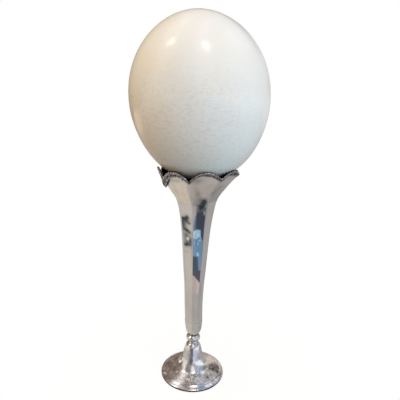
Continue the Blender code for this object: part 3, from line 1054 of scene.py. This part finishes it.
# felt just in front of the vase, which only the front panel mirrors, and last the shelf
# that keeps it out of the flare: colour, then corners as millimetres to the right, up and
# (FELT_OUT where not given) out from the panel
FELT_PLACE = (0.0035, -0.0125, 0.0)
FELT_OUT = 30
FELT_TURN = math.radians(24.5)
SHELF = (0.42, 0.385, 0.355)
FELT = (
    ((0.052, 0.064, 0.094), (
        (-4.6, 148), (7, 148), (6, 162.2), (2.2, 162.2), (2.2, 165.2), (6, 165.2), (6, 168.4),
        (0.4, 168.4), (-1, 166.3), (-2.6, 165.3), (-4.8, 164.3),
    )),
    ((0.12, 0.19, 0.29), ((-7.6, 146.5), (-4.6, 147), (-4.8, 162.5), (-6.4, 159), (-7, 150))),
    ((0.3, 0.34, 0.385), ((2.2, 162.2), (6, 162.2), (6, 165.2), (2.2, 165.2))),
    ((0.48, 0.64, 0.86), ((-9, 140.2), (-4, 139.8), (-3.6, 144), (-4.6, 147), (-7.6, 146.5))),
    ((0.32, 0.52, 0.64), (
        (-4, 139.8), (0.6, 138.6), (0.2, 148), (-4.6, 148), (-4.6, 147), (-3.6, 144),
    )),
    ((0.054, 0.072, 0.11), (
        (0.6, 138.6), (10, 138.6), (10, 149), (7, 149), (7, 148), (0.2, 148),
    )),
    ((0.18, 0.31, 0.465), (
        (-9, 119.5), (-3.4, 119.5), (-2.2, 131), (-4.2, 137), (-4, 139.8), (-9, 140.2),
    )),
    ((0.15, 0.27, 0.44), (
        (-3.4, 119.5), (7, 119.5), (7, 138.6), (-4, 139.8), (-4.2, 137), (-2.2, 131),
    )),
    ((0.38, 0.52, 0.74), (
        (-5.6, 133.5, 29.6), (-3.4, 133, 29.6), (-3.6, 137, 29.6), (-5.4, 137.4, 29.6),
    )),
    ((0.42, 0.56, 0.78), (
        (-2.4, 120.4, 29.6), (0.2, 120, 29.6), (-0.4, 124.6, 29.6), (-2.6, 124, 29.6),
    )),
    ((0.07, 0.104, 0.128), ((-9, 102.5), (0.4, 102.5), (-0.8, 119.5), (-9, 119.5))),
    ((0.18, 0.28, 0.43), ((0.4, 102.5), (7, 102.5), (7, 119.5), (-0.8, 119.5))),
    ((0.094, 0.094, 0.13), (
        (-9, 94.5), (-4.2, 94.5), (2.4, 86), (7, 86), (7, 102.5), (-9, 102.5),
    )),
    ((0.5, 0.41, 0.39), ((-9, 94.5), (-4.2, 94.5), (-0.6, 89.9), (-0.6, 76), (-9, 78))),
    ((0.54, 0.5, 0.53), ((-0.6, 89.9), (2.4, 86), (7, 86), (7, 74), (-0.6, 76))),
    ((0.36, 0.325, 0.325), (
        (-16, 187.2, 7.6), (-6.7, 187.2, 7.6), (-6.7, 184.3, 8.3), (-16, 184.3, 8.3),
    )),
    (SHELF, (
        (-16, 186.4, 8), (1, 186.4, 8), (1, 179.3, 15.5), (-16, 179.3, 15.5),
    )),
    (SHELF, (
        (-16, 179.3, 15.5), (13, 179.3, 15.5), (13, 175.4, 20), (-16, 175.4, 20),
    )),
    (SHELF, (
        (-16, 175.4, 20), (13, 175.4, 20), (13, 168.6, 31), (-16, 168.6, 31),
    )),
)


FLOOR_RADIUS = 4.0
FLOOR_COLOUR = (0.93, 0.93, 0.94, 1.0)
FLOOR_FADE = (0.04, 0.20)  # distances between which the floor turns plain white
WHITE = (1.0, 1.0, 1.0, 1.0)


def make_camera():
    pitch, roll = CAMERA_PITCH, CAMERA_ROLL
    ahead = Vector((0, math.cos(pitch), -math.sin(pitch)))
    raised = Vector((0, math.sin(pitch), math.cos(pitch)))
    side = Vector((1, 0, 0))
    right = math.cos(roll) * side + math.sin(roll) * raised
    up = -math.sin(roll) * side + math.cos(roll) * raised
    turn = Matrix((right, up, -ahead)).transposed().to_4x4()
    data = bpy.data.cameras.new("camera")
    data.lens = CAMERA_LENS
    data.clip_start = 0.01
    camera = bpy.data.objects.new("camera", data)
    camera.matrix_world = Matrix.Translation(CAMERA_PLACE) @ turn
    bpy.context.scene.collection.objects.link(camera)
    bpy.context.scene.camera = camera


def glow_material(name, colour):
    """Plain colour that needs no light."""
    material = bpy.data.materials.new(name)
    material.use_nodes = True
    tree = material.node_tree
    tree.nodes.clear()
    glow = add_node(tree, "ShaderNodeEmission", {"Color": (*colour, 1.0)})
    add_node(tree, "ShaderNodeOutputMaterial", {"Surface": glow.outputs[0]})
    return material


def room_colour(tree, ray, x, z):
    """Colour of the mirrored room in the direction of the ray."""
    sway = add_node(tree, "ShaderNodeTexNoise", {"Vector": ray, "Scale": 3.5, "Detail": 2.0})
    ray = vector_node(tree, "MULTIPLY_ADD", sway.outputs["Color"], ROOM_SWAY, ray)[0]
    ray = vector_node(tree, "SUBTRACT", ray, [value / 2 for value in ROOM_SWAY])[0]
    below = mix_colours(
        tree, range_node(tree, x, -0.6, 0.75),
        (*ROOM_BELOW_LEFT, 1.0), (*ROOM_BELOW_RIGHT, 1.0),
    )
    room = mix_colours(tree, range_node(tree, z, -0.30, -0.08), below, (*ROOM_ABOVE, 1.0))
    for azimuth, elevation, wide, tall, soft, colour in ROOM:
        inputs = {
            "Vector": ray,
            "Rotation": (math.radians(elevation), 0.0, math.radians(azimuth) + math.pi),
            "Scale": (math.sin(math.radians(wide)), 1.0, math.sin(math.radians(tall))),
        }
        turned = add_node(
            tree, "ShaderNodeMapping", inputs, vector_type="TEXTURE"
        ).outputs[0]
        side, ahead, up = add_node(tree, "ShaderNodeSeparateXYZ", {0: turned}).outputs
        spread = math_node(tree, "MULTIPLY", side, side)
        spread = math_node(tree, "ADD", spread, math_node(tree, "MULTIPLY", up, up))
        share = range_node(tree, spread, 1.0 + soft, 1.0 - soft)
        share = math_node(tree, "MULTIPLY", share, math_node(tree, "GREATER_THAN", ahead, 0.0))
        room = mix_colours(tree, share, room, (*colour, 1.0))
    return room


def make_world():
    """White for the camera, soft light for the egg and a plain room for the silver."""
    world = bpy.data.worlds.new("studio")
    bpy.context.scene.world = world
    world.use_nodes = True
    tree = world.node_tree
    tree.nodes.clear()
    ray = add_node(tree, "ShaderNodeTexCoord").outputs["Generated"]
    x, _, z = add_node(tree, "ShaderNodeSeparateXYZ", {0: ray}).outputs
    soft = (0.0, 0.0, 0.0)
    for azimuth, elevation, colour in LIGHTS:
        level = math.radians(elevation)
        towards = at_azimuth(math.cos(level), math.radians(azimuth), math.sin(level))
        facing = vector_node(tree, "DOT_PRODUCT", ray, towards)["Value"]
        power = math_node(tree, "MULTIPLY_ADD", facing, LIGHT_FOCUS, -LIGHT_FOCUS)
        power = math_node(tree, "EXPONENT", power)
        soft = vector_node(tree, "MULTIPLY_ADD", colour, power, soft)[0]
    room = room_colour(tree, ray, x, z)
    path = add_node(tree, "ShaderNodeLightPath").outputs
    lit = mix_colours(tree, path["Is Glossy Ray"], soft, room)
    seen = mix_colours(tree, path["Is Camera Ray"], lit, WHITE)
    back = add_node(tree, "ShaderNodeBackground", {"Color": seen})
    add_node(tree, "ShaderNodeOutputWorld", {"Surface": back.outputs[0]})


def make_floor():
    """Pale round floor that fades into the white behind it."""
    bm = bmesh.new()
    bmesh.ops.create_circle(bm, cap_ends=True, segments=96, radius=FLOOR_RADIUS)
    material, tree, shader, place = new_material("pale_floor")
    inputs = {"Base Color": FLOOR_COLOUR, "Roughness": 0.9, "Specular IOR Level": 0.0}
    set_inputs(tree, shader, inputs)
    far = vector_node(tree, "LENGTH", place)["Value"]
    share = range_node(tree, far, *FLOOR_FADE, 0.86, 1.0)
    glow = add_node(tree, "ShaderNodeEmission", {"Color": WHITE})
    inputs = {0: share, 1: shader.outputs[0], 2: glow.outputs[0]}
    blend = add_node(tree, "ShaderNodeMixShader", inputs)
    out = next(n for n in tree.nodes if n.type == "OUTPUT_MATERIAL")
    tree.links.new(blend.outputs[0], out.inputs["Surface"])
    floor = linked_object("floor", bm, [material])
    floor.visible_glossy = False
    floor.visible_diffuse = False


def make_felt():
    """Small coloured cards close to the vase. Only its silver sees them."""
    right = Vector((math.cos(FELT_TURN), math.sin(FELT_TURN), 0))
    ahead = at_azimuth(1.0, FELT_TURN, 0.0)
    place = Vector(FELT_PLACE)
    for number, (colour, corners) in enumerate(FELT):
        name = f"felt_{number:02d}"
        bm = bmesh.new()
        verts = []
        for side, up, *out in corners:
            spot = place + (right * side + ahead * (out[0] if out else FELT_OUT)) / 1000
            verts.append(bm.verts.new(spot + Vector((0, 0, up / 1000))))
        bm.faces.new(verts)
        felt = linked_object(name, bm, [glow_material(name, colour)])
        felt.visible_camera = False
        felt.visible_diffuse = False
        felt.visible_shadow = False


class EGGSTAND_OT_stage(bpy.types.Operator):
    """Camera, pale floor, soft light and the cards that the silver mirrors"""

    bl_idname = "eggstand.stage"
    bl_label = "Stage"

    def execute(self, context):
        make_camera()
        make_world()
        make_floor()
        make_felt()
        context.scene.view_settings.view_transform = "Standard"
        return {"FINISHED"}


# ---------------------------------------------------------------- add-on
class EGGSTAND_PT_panel(bpy.types.Panel):
    """Lists the pieces of the egg and its vase"""

    bl_idname = "EGGSTAND_PT_panel"
    bl_label = "Egg Stand"
    bl_space_type = "VIEW_3D"
    bl_region_type = "UI"
    bl_category = "Egg Stand"

    def draw(self, context):
        egg, silver = settings()
        column = self.layout.column()
        for group in (egg, silver):
            for name in type(group).__annotations__:
                column.prop(group, name)
        for operator in PIECES:
            column.operator(operator.bl_idname)


PIECES = (
    EGGSTAND_OT_stage,
    EGGSTAND_OT_egg,
    EGGSTAND_OT_trumpet,
    EGGSTAND_OT_border,
    EGGSTAND_OT_base_cup,
    EGGSTAND_OT_knop,
    EGGSTAND_OT_foot,
)
CLASSES = (EggSettings, SilverSettings, *PIECES, EGGSTAND_PT_panel)


def register():
    for each in CLASSES:
        bpy.utils.register_class(each)
    bpy.types.Scene.egg_settings = PointerProperty(type=EggSettings)
    bpy.types.Scene.silver_settings = PointerProperty(type=SilverSettings)


def unregister():
    del bpy.types.Scene.silver_settings
    del bpy.types.Scene.egg_settings
    for each in reversed(CLASSES):
        bpy.utils.unregister_class(each)


def main():
    register()
    bpy.ops.eggstand.stage()
    bpy.ops.eggstand.egg()
    bpy.ops.eggstand.trumpet()
    bpy.ops.eggstand.border()
    bpy.ops.eggstand.base_cup()
    bpy.ops.eggstand.knop()
    bpy.ops.eggstand.foot()


if __name__ == "__main__":
    main()
